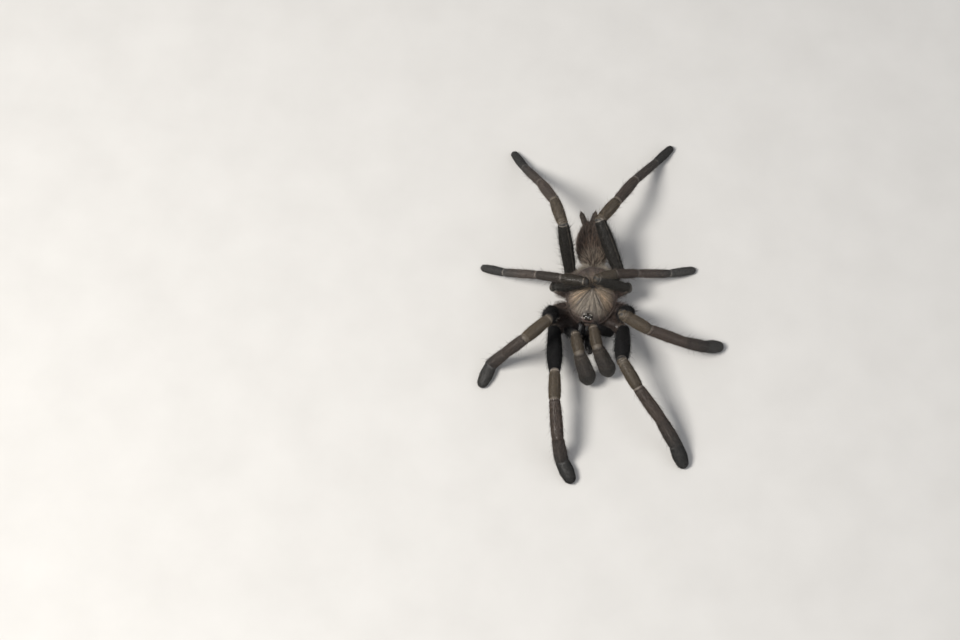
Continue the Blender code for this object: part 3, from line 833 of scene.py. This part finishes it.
def tuft_colours(place, layer, rng):
    """The skin's markings under the tufts, uneven, and paler on the longer hair."""
    bearing = np.where(place.of(*STRIPED), 1.4, 0.0) if layer else place.bearing
    colours, _ = markings(place, place.share.clip(0.06, 0.93), bearing)
    many = len(colours)
    uneven = np.where(place.kind == "abdomen", 0.42, 0.22)[:, None]
    tone = (1.0 + uneven * rng.normal(0.0, 1.0, (many, 1))).clip(0.35, 2.0)
    warmth = rng.normal(0.0, 0.06, (many, 1)) * np.array((1.0, 0.0, -1.0))
    colours = colours * (tone + warmth)
    if layer == UNDERCOAT:
        return colours
    pale = place.of("abdomen", "coxa") | place.on_back_legs
    colours = colours * np.where(pale, 1.9, 1.3)[:, None] + 0.002
    front = (place.kind == "abdomen") * np.clip(1.25 - 5 * place.share, 0, 0.7) * rng.random(many)
    return blend(colours, PALE_FRINGE, np.maximum(front, 0.8 * (place.kind == "pedicel")))


def grow_coat(skin, material):
    """Every tuft on the skin, in pieces by the kind of limb segment."""
    rng = np.random.default_rng(SEED)
    points, normals, triangles = read_mesh(skin.data)
    skin_place = Places(points[triangles].mean(axis=1))
    names, rows, counts, slots = piece_names()
    coats = {name: Coat(name) for name in counts}
    for layer in (UNDERCOAT, GUARD, BRISTLES):
        spots, facing = scatter(points, normals, triangles, coat_weight(skin_place, layer), rng)
        place = Places(spots)
        length, width, lift, droop = tuft_sizes(place, layer, rng)
        colours = tuft_colours(place, layer, rng)
        lie = AHEAD[place.region] + rng.normal(0, 0.09, (len(spots), 3))
        lift = lift * rng.normal(1, 0.15, len(spots))
        droop = droop * rng.normal(1, 0.3, len(spots))
        for name, coat in coats.items():
            mine = names[place.region] == name
            turned = 0.05 + 0.9 * (place.bearing[mine] / math.tau + 0.5)
            patch = np.column_stack([0.03 + 0.94 * place.share[mine].clip(-0.02, 1.02),
                                     (rows[place.region[mine]] + turned) / counts[name]])
            shape = [part[mine] for part in (length, width, lift, droop)]
            coat.add(spots[mine], facing[mine], lie[mine], shape, colours[mine], patch,
                     layer > UNDERCOAT)
    made = []
    for name, coat in coats.items():
        made.append(coat.build(material))
    return made


# --- carapace, eyes, fangs, claws

# Bearing from the head, width and depth of the grooves of one half, degrees.
GROOVES = ((17, 1.5, 0.35), (31, 3.2, 0.85), (44, 1.5, 0.4), (57, 2.0, 0.45), (68, 1.4, 0.35),
           (79, 3.0, 0.7), (91, 1.4, 0.35), (102, 2.0, 0.45), (113, 1.4, 0.35), (124, 3.0, 0.65),
           (138, 1.5, 0.35), (150, 2.4, 0.5))


def carapace_relief(x, y):
    """Height of the carapace, how much of it is groove, and its bearing from the fovea."""
    reach = np.hypot(x, y - FOVEA_Y)
    bearing = np.degrees(np.arctan2(x, -(y - FOVEA_Y)))
    groove = np.zeros_like(reach)
    for angle, width, depth in GROOVES:
        apart = np.abs(bearing) - angle
        narrow = width * (1.0 + 1.1 / np.maximum(reach, 0.3))
        long = 8.4 if angle < 40 else 7.0
        fade = clamp((reach - 0.4) / 0.7) * clamp((long - reach) / 3.0)
        groove = np.maximum(groove, depth * ridge(apart, 0, narrow) * fade)
    dimple = ridge(x, 0, 0.95) * ridge(y - 0.06 * x * x, FOVEA_Y, 0.32)
    height = dome_height(x, y) - GROOVE_DEPTH * groove - FOVEA_DEPTH * dimple - CARAPACE_COAT
    return height, np.maximum(groove, dimple), bearing


def carapace_colours(x, y):
    """Colour of the hair over a place: silver head wedge, golden sides, brown rim, darker ends
    with painted shade at the rear.
    """
    _, groove, bearing = carapace_relief(x, y)
    reach = np.hypot(x / (CARAPACE_WIDTH / 2), y / CARAPACE_BACK)
    colours = np.tile(GOLDEN_HAIR, (len(x), 1))
    colours = blend(colours, SILVER_HAIR, clamp((44 - np.abs(bearing)) / 16) * 0.9)
    colours = blend(colours, SILVER_HAIR, ridge(np.abs(bearing), 90, 18) * 0.5)
    colours = blend(colours, RIM_HAIR, np.clip((reach - 0.58) * 2.8, 0, 0.95))
    # Darker towards both ends; at the rear this is painted shade, the shadow under the raised
    # third legs.
    ends = np.maximum(np.clip((-y - 5.4) / 2.0, 0, 0.8), np.clip((y - 3.6) / 2.0, 0, 0.75))
    colours = blend(colours, RIM_HAIR, ends)
    colours = colours * (1 + 0.55 * streaks(np.radians(bearing), 13, 1.7))[:, None]
    median = ridge(x, 0, 0.24) * clamp((-y - 1.6) / 2.0)
    mound = np.hypot(x / 1.45, (y - EYE_MOUND_Y - 0.25) / 1.35)
    median = np.maximum(median, clamp((1.35 - mound) * 4))
    return blend(colours, GROOVE_HAIR, np.maximum(groove * 0.95, median))


def make_carapace(material):
    """The domed shield, with its grooves, its dimple and a rolled rim."""
    spokes, rings = 240, 64
    angles = np.arange(spokes) * math.tau / spokes
    rim = np.array([carapace_rim(a) for a in angles])
    shares = np.linspace(0.02, 1.0, rings) ** 0.9
    x = rim[None, :, 0] * shares[:, None] * 0.985
    y = FOVEA_Y + (rim[None, :, 1] * 0.985 - FOVEA_Y) * shares[:, None]
    z, groove, _ = carapace_relief(x, y)
    edge = clamp((shares[:, None] - 0.93) / 0.07)
    z = z - 0.16 * edge ** 2 + 0.10 * ridge(shares[:, None], 0.955, 0.02)
    top = np.stack([x, y, z], axis=2).reshape(-1, 3)
    under = np.column_stack([rim * 0.965, np.full(spokes, CARAPACE_EDGE - 0.1)])
    height, _, _ = carapace_relief(np.zeros(1), np.array([FOVEA_Y]))
    points = np.concatenate([top, under, [(0, FOVEA_Y, height[0])], [(0, 0, CARAPACE_EDGE)]])
    last, peak, base = rings * spokes, len(points) - 2, len(points) - 1
    sides = [(k, (k + 1) % spokes) for k in range(spokes)]
    faces = [(row + k, row + spokes + k, row + spokes + after, row + after)
             for row in range(0, last, spokes) for k, after in sides]
    faces += [(peak, k, after) for k, after in sides]
    faces += [(base, last + after, last + k) for k, after in sides]
    data = bpy.data.meshes.new("carapace_shield")
    data.from_pydata((carried(points, HEAD) * MM).tolist(), [], faces)
    data.update()
    reach = np.concatenate([np.repeat(shares, spokes), np.ones(spokes), [0, 1]])
    marks = np.concatenate([groove.ravel(), np.zeros(spokes), [1, 0]])
    colours = np.tile(CARAPACE_SKIN, (len(points), 1))
    colours = blend(colours, CARAPACE_RIM, (reach - 0.86) / 0.1)
    colours = blend(colours, CARAPACE_GROOVE, marks * 1.2)
    write_marks(data, colours, "gloss", clamp(marks * 0.5 + 0.15))
    thing = link_object("carapace_shield", data, material)
    return thing, len(top)


# Hairs to the square millimetre, length, width, lift, droop, whether curved, and tone.
CARAPACE_HAIR = (
    (84, 0.60, 0.070, 8, 4, False, 1.0), (9, 1.1, 0.055, 18, 6, True, 1.35),
    (0.6, 1.8, 0.055, 46, 24, True, 0.5),
)


def carapace_patch(place):
    """Place on the map of the carapace, seen from above."""
    bearing = np.arctan2(place[:, 1] - FOVEA_Y, place[:, 0])
    reach = np.hypot(place[:, 0], place[:, 1] - FOVEA_Y) / 11.6
    return np.column_stack([0.5 + 0.46 * reach * np.cos(bearing),
                            0.5 + 0.46 * reach * np.sin(bearing)])


def grow_fringe(coat, rng):
    """The fringe of the carapace's rim, long and pale at the tail end."""
    angle = rng.random(FRINGE_HAIRS) * math.tau
    rim = np.array([carapace_rim(a) for a in angle])
    tail = clamp(np.sin(angle) * 1.3 - 0.35)
    place = np.column_stack([rim * 0.975, CARAPACE_EDGE + 0.05 - 0.15 * rng.random(FRINGE_HAIRS)])
    length = np.where(tail > 0, 0.8 + 2.2 * tail * rng.random(FRINGE_HAIRS), 0.8)
    length = length * rng.normal(1, 0.15, FRINGE_HAIRS).clip(0.6, 1.4)
    colours = blend(np.tile(RIM_HAIR, (FRINGE_HAIRS, 1)), PALE_FRINGE, tail)
    colours = colours * rng.normal(1, 0.2, (FRINGE_HAIRS, 1)).clip(0.5, 1.6)
    lift = np.where(tail > 0, rng.normal(22, 16, FRINGE_HAIRS), rng.normal(4, 6, FRINGE_HAIRS))
    away = unit(np.column_stack([rim, np.zeros(FRINGE_HAIRS)]))
    lie = (away + rng.normal(0, 0.16, away.shape)) @ HEAD_AXES.T
    rise = np.tile((0, 0, 1.0), (FRINGE_HAIRS, 1)) @ HEAD_AXES.T
    shape = (length, [0.065] * FRINGE_HAIRS, lift, lift * 0.3)
    coat.add(carried(place, HEAD), rise, lie, shape, colours, carapace_patch(place), True)


def grow_carapace_coat(shield, top_count, material):
    """Short flat hairs that radiate from the dimple, and the fringe of the rim."""
    rng = np.random.default_rng(SEED + 1)
    points, normals, triangles = read_mesh(shield.data)
    triangles = triangles[(triangles < top_count).all(axis=1)]
    coat = Coat("coat_carapace")
    middle = carried(points[triangles].mean(axis=1), HEAD.inverted())
    _, groove, _ = carapace_relief(middle[:, 0], middle[:, 1])
    mound = np.hypot(middle[:, 0] / 1.6, (middle[:, 1] - EYE_MOUND_Y) / 1.4)
    cover = (1 - 0.8 * clamp(groove)) * clamp((mound - 1.0) * 6)
    for density, size, width, lift, droop, curved, tone in CARAPACE_HAIR:
        spots, facing = scatter(points, normals, triangles, density * cover, rng)
        place, many = carried(spots, HEAD.inverted()), len(spots)
        away = np.column_stack([place[:, 0], place[:, 1] - FOVEA_Y, np.zeros(many)])
        head = np.exp(-(place[:, 0] / 3.4) ** 4) * clamp(-(place[:, 1] + 0.5) / 3)
        away = unit(away) * (1 - head[:, None] * 0.35) + head[:, None] * np.array((0, -0.6, 0))
        lie = (away + rng.normal(0, 0.10, away.shape)) @ HEAD_AXES.T
        colours = carapace_colours(place[:, 0], place[:, 1])
        colours = colours * tone * rng.normal(1, 0.32, (many, 1)).clip(0.35, 2.0)
        shape = (size * rng.normal(1, 0.18, many).clip(0.5, 1.5), [width] * many,
                 lift * rng.normal(1, 0.2, many), droop * rng.normal(1, 0.3, many))
        coat.add(spots, facing, lie, shape, colours, carapace_patch(place), curved)
    grow_fringe(coat, rng)
    thing = coat.build(material)
    return thing


def dome(mesh, centre, radius, facing, flatness=1.0, rings=12, sides=24):
    """A smooth bead that looks along facing."""
    facing = facing.normalized()
    across = facing.orthogonal().normalized()
    up = facing.cross(across)
    centres, widths = [], []
    for step in range(rings + 1):
        angle = math.pi * (0.02 + 0.96 * step / rings)
        centres.append(centre - facing * (radius * math.cos(angle) * flatness))
        widths.append(radius * math.sin(angle))
    loft(mesh, centres, across, up, widths, widths, sides)


def make_eyes(mound_material, eye_material, side_material, coat_material):
    """The eye mound, its eight eyes and the bristles between them."""
    level = float(dome_height(0.0, EYE_MOUND_Y)) - 0.15
    middle = Vector((0, EYE_MOUND_Y, level))
    mesh = bmesh.new()
    ball = middle - Vector((0, 0, 0.1))
    dome(mesh, ball, 1.0, Vector((0, 0, 1)), 1.0, 20, 40)
    for vertex in mesh.verts:
        offset = vertex.co - ball
        vertex.co = middle + offset * Vector(MOUND_SIZE)
        if offset.z > 0:
            vertex.co.z -= 0.10 * math.exp(-((vertex.co.x / 0.22) ** 2)) * offset.z
    mesh.transform(HEAD)
    mound = add_object("eye_mound", mesh, mound_material)
    made = [mound]
    for name, look in (("front", eye_material), ("side", side_material)):
        mesh = bmesh.new()
        for side in SIDES.values():
            for across, along, up, radius, wide in EYES[name]:
                spot = middle + Vector((side * across, along, up))
                before = set(mesh.verts)
                dome(mesh, spot, radius, Vector((side * across * 0.8, along, up + 0.15)), 0.92)
                for vertex in set(mesh.verts) - before:
                    offset = vertex.co - spot
                    offset[1 if along > 0 else 0] *= wide
                    vertex.co = spot + offset
        mesh.transform(HEAD)
        made.append(add_object("eyes_" + name, mesh, look))
    rng = np.random.default_rng(SEED + 2)
    x = rng.uniform(-1.2, 1.2, MOUND_HAIRS)
    y = rng.uniform(-0.9, 0.9, MOUND_HAIRS)
    inside = (x / 1.3) ** 2 + (y / 0.95) ** 2 < 1
    x, y = x[inside], y[inside]
    count = len(x)
    z = 0.75 * np.sqrt(1 - (x / 1.36) ** 2 - (y / 1.0) ** 2)
    place = np.column_stack([x, EYE_MOUND_Y + y, level + z])
    normal = unit(np.column_stack([x / 1.8, y / 1.0, z / 0.6]))
    lie = np.tile((0, -1.0, 0), (count, 1)) + rng.normal(0, 0.25, (count, 3))
    coat = Coat("coat_eye_mound")
    coat.add(carried(place, HEAD), normal @ HEAD_AXES.T, lie @ HEAD_AXES.T,
             (rng.uniform(0.35, 0.8, count), [0.045] * count, [35] * count, [12] * count),
             np.tile(MOUND_HAIR, (count, 1)), np.column_stack([0.5 + 0.35 * x, 0.5 + 0.35 * y]),
             True)
    bristles = coat.build(coat_material)
    return made + [bristles]


def make_fang(side, material):
    """The curved fang folded back under its jaw, a little wider across than it is deep."""
    sign = SIDES[side]
    mesh = bmesh.new()
    centres, radii = [], []
    for step in range(25):
        share = step / 24
        swing = math.radians(20 + 118 * share)
        y = -12.9 - 2.1 * math.cos(swing) + 1.9 * share
        z = -2.75 - 2.05 * math.sin(swing) - 0.4 * share
        centres.append(HEAD @ Vector((sign * (1.9 - 0.35 * share), y, z)))
        radii.append((0.60 - 0.34 * share) * (1 - 0.75 * max(0.0, share - 0.8) / 0.2))
    across = (HEAD.to_3x3() @ Vector((1, 0, 0))).normalized()
    ups = [across.cross((centres[min(k + 1, 24)] - centres[max(k - 1, 0)]).normalized())
           for k in range(25)]
    loft(mesh, centres, across, ups, radii, radii, 20, 0.0, 0.10)
    thing = add_object(f"fang_horn_{side}", mesh, material)
    return thing


def make_claws(material):
    """A pair of small curved claws at each foot."""
    mesh = bmesh.new()
    for tube in REGIONS:
        if tube.kind != "tarsus":
            continue
        for sign in (1, -1):
            root = (tube.end - tube.ahead * 0.35 + tube.across * (sign * 0.22)
                    + tube.up * 0.12)
            centres, radii = [], []
            for step in range(9):
                share = step / 8
                bend = math.radians(35 - 95 * share)
                centres.append(root + tube.ahead * (0.62 * share * math.cos(bend * 0.5))
                               + tube.up * (0.22 * math.sin(math.pi * share) - 0.25 * share))
                radii.append(0.11 * (1 - share) + 0.02)
            for index, centre in enumerate(centres):
                centre.z = max(centre.z, radii[index] + 0.01)
            loft(mesh, centres, tube.across, tube.up, radii, radii, 8)
    thing = add_object("claws", mesh, material)
    return thing


# --- materials

class Look:
    """A node material; its sockets are constants of the shader."""

    def __init__(self, name, roughness, **sockets):
        self.material = bpy.data.materials.new(name)
        self.material.use_nodes = True
        self.tree = self.material.node_tree
        self.shader = self.tree.nodes["Principled BSDF"].inputs
        for socket, value in {"Roughness": roughness, **sockets}.items():
            self.shader[socket.replace("_", " ")].default_value = value

    def feed(self, socket, value):
        """Sets a socket, or links it where the value is another node's output."""
        if isinstance(value, bpy.types.NodeSocket):
            self.tree.links.new(value, socket)
        else:
            socket.default_value = value

    def node(self, kind, **sockets):
        """A node with some of its sockets set or fed."""
        node = self.tree.nodes.new("ShaderNode" + kind)
        for name, value in sockets.items():
            self.feed(node.inputs[name.replace("_", " ")], value)
        return node

    def attribute(self, name, output="Fac"):
        """A value or colour stored on the vertices."""
        node = self.node("Attribute")
        node.attribute_name = name
        return node.outputs[output]

    def noise(self, scale, detail):
        """Noise over the object's own coordinates; scale is per metre."""
        place = self.node("TexCoord").outputs["Object"]
        return self.node("TexNoise", Vector=place, Scale=scale, Detail=detail).outputs["Fac"]

    def remap(self, value, low, high):
        """Brings a 0 to 1 value into a range."""
        return self.node("MapRange", Value=value, To_Min=low, To_Max=high).outputs["Result"]

    def paint(self, factor):
        """Colours the shader with the marking times a factor."""
        node = self.node("VectorMath")
        node.operation = "SCALE"
        self.feed(node.inputs[0], self.attribute("marking", "Color"))
        self.feed(node.inputs["Scale"], factor)
        self.feed(self.shader["Base Color"], node.outputs["Vector"])

    def bump(self, height, depth, strength):
        """Relief of the surface, depth in metres."""
        node = self.node("Bump", Strength=strength, Distance=depth, Height=height)
        self.feed(self.shader["Normal"], node.outputs["Normal"])


def skin_material(name):
    """Dark cuticle under the coat, with its markings."""
    look = Look(name, 0.6, Specular_IOR_Level=1.0)
    look.paint(look.remap(look.noise(1400, 4), 0.55, 1.45))
    gloss = look.attribute("gloss")
    look.feed(look.shader["Roughness"], look.remap(gloss, 0.62, 0.14))
    look.feed(look.shader["Coat Weight"], look.remap(gloss, 0.0, 0.9))
    look.bump(look.noise(7000, 3), 0.00006, 0.5)
    return look.material


def coat_material(name, lighten, roughness, sheen, specular):
    """Hair: the skin's markings, paler towards the tips."""
    look = Look(name, roughness, Sheen_Weight=sheen, Sheen_Roughness=0.45,
                Specular_IOR_Level=specular)
    both = look.node("Math")
    both.operation = "MULTIPLY"
    look.feed(both.inputs[0], look.remap(look.attribute("tip"), 0.72, lighten))
    look.feed(both.inputs[1], look.remap(look.noise(900, 3), 0.7, 1.3))
    look.paint(both.outputs["Value"])
    return look.material


def plain_material(name, dark, light, scale, roughness, bump, **sockets):
    """Two close tones mottled by noise, with a fine relief."""
    look = Look(name, roughness, **sockets)
    ramp = look.node("ValToRGB", Fac=look.noise(scale, 4))
    for element, place, tone in zip(ramp.color_ramp.elements, (0.3, 0.7), (dark, light)):
        element.position = place
        element.color = (*tone, 1)
    look.feed(look.shader["Base Color"], ramp.outputs["Color"])
    look.bump(look.noise(scale * 6, 2), bump, 0.4)
    return look.material


# --- the studio

VIEW_AZIMUTH = 7.0
VIEW_ELEVATION = 66.0
VIEW_DISTANCE = 634.9
VIEW_OFFSET = (31.2, 7.84)       # the aim lies right of and above the carapace
VIEW_HEIGHT = 12.5
LENS = 85
# Place in metres, power, size and colour.
LAMPS = {
    "key": ((-0.34, -0.20, 0.58), 4.4, 0.20, (1.0, 0.965, 0.91)),
    "fill": ((0.55, -0.15, 0.50), 0.7, 0.60, (0.95, 0.97, 1.0)),
}


def stand_looking(name, data, place, back):
    """Puts a camera or lamp at a place, looking away from back."""
    thing = link_object(name, data)
    thing.location = place
    thing.rotation_mode = "QUATERNION"
    thing.rotation_quaternion = (-back).to_track_quat("-Z", "Y")
    return thing


def make_camera():
    """The camera: it looks down at the face side, with the spider right of the middle."""
    azimuth = math.radians(VIEW_AZIMUTH)
    back = direction(VIEW_AZIMUTH - 90, VIEW_ELEVATION)
    right = Vector((math.cos(azimuth), math.sin(azimuth), 0))
    stand = STAND.to_translation()
    data = bpy.data.cameras.new("camera")
    data.lens = LENS
    data.sensor_width = 36
    data.clip_start, data.clip_end = 0.01, 50
    place = (Vector((stand.x, stand.y, VIEW_HEIGHT)) + back * VIEW_DISTANCE
             - right * VIEW_OFFSET[0] - back.cross(right) * VIEW_OFFSET[1])
    bpy.context.scene.camera = stand_looking("camera", data, place * MM, back)


def make_studio():
    """Pale floor, soft lamps and a pale surround."""
    mesh = bmesh.new()
    bmesh.ops.create_grid(mesh, x_segments=8, y_segments=8, size=4000)
    floor = add_object("floor", mesh, plain_material(
        "floor_paper", (0.70, 0.69, 0.67), (0.74, 0.73, 0.71), 60, 0.85, 0.00002))
    for name, (place, power, size, colour) in LAMPS.items():
        data = bpy.data.lights.new(name, "AREA")
        data.energy, data.size, data.color = power, size, colour
        stand_looking(name, data, place, Vector(place))
    world = bpy.data.worlds.new("studio")
    bpy.context.scene.world = world
    world.use_nodes = True
    background = world.node_tree.nodes["Background"]
    background.inputs["Color"].default_value = (0.95, 0.96, 1.0, 1)
    background.inputs["Strength"].default_value = 0.32
    bpy.context.scene.view_settings.view_transform = "Standard"


# --- everything together

def build():
    """Makes the pieces, hides the CAD nodes they stand for and sets up the studio."""
    skin_look = skin_material("cuticle")
    hair_look = coat_material("hair", 1.4, 0.5, 0.04, 0.25)
    silver_look = coat_material("carapace_hair", 1.35, 0.36, 0.20, 0.6)
    shell_look = skin_material("shell")
    skin = make_skin(skin_look)
    points = read_rows(skin.data.vertices, "co") / MM
    place = Places(points)
    colours, gloss = markings(place, place.share, place.bearing)
    write_marks(skin.data, colours, "gloss", gloss)
    points[:, 2] = np.maximum(points[:, 2], 0.02)
    skin.data.vertices.foreach_set("co", (points * MM).ravel())
    skin.data.update()
    print("skin", len(skin.data.polygons))
    flesh = [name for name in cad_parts
             if name not in ("carapace", "ocular_tubercle") and not name.startswith("fang")]
    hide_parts(*flesh)
    made = [skin] + grow_coat(skin, hair_look)
    shield, top_count = make_carapace(shell_look)
    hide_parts("carapace")
    made += [shield, grow_carapace_coat(shield, top_count, silver_look)]
    mound_look = plain_material("eye_mound_cuticle", (0.006, 0.005, 0.005), (0.02, 0.015, 0.012),
                                2500, 0.16, 0.00003, Coat_Weight=0.6)
    eye_look = plain_material("eye_lens", (0.002, 0.002, 0.002), (0.005, 0.004, 0.004),
                              2000, 0.10, 0.0, Coat_Weight=1.0, IOR=2.0,
                              Specular_IOR_Level=1.0)
    side_look = plain_material("eye_lens_pearl", (0.26, 0.24, 0.20), (0.52, 0.49, 0.43),
                               2600, 0.08, 0.0, Coat_Weight=1.0, Specular_IOR_Level=1.0)
    horn_look = plain_material("horn", (0.010, 0.004, 0.003), (0.030, 0.010, 0.007),
                               1500, 0.18, 0.00002, Coat_Weight=0.5)
    eyes = make_eyes(mound_look, eye_look, side_look, hair_look)
    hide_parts("ocular_tubercle")
    made += eyes
    for side in SIDES:
        fang = make_fang(side, horn_look)
        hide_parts(f"fang_{side}")
        made.append(fang)
    made.append(make_claws(horn_look))
    for thing in made:
        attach(thing, "root")
    make_camera()
    make_studio()


build()
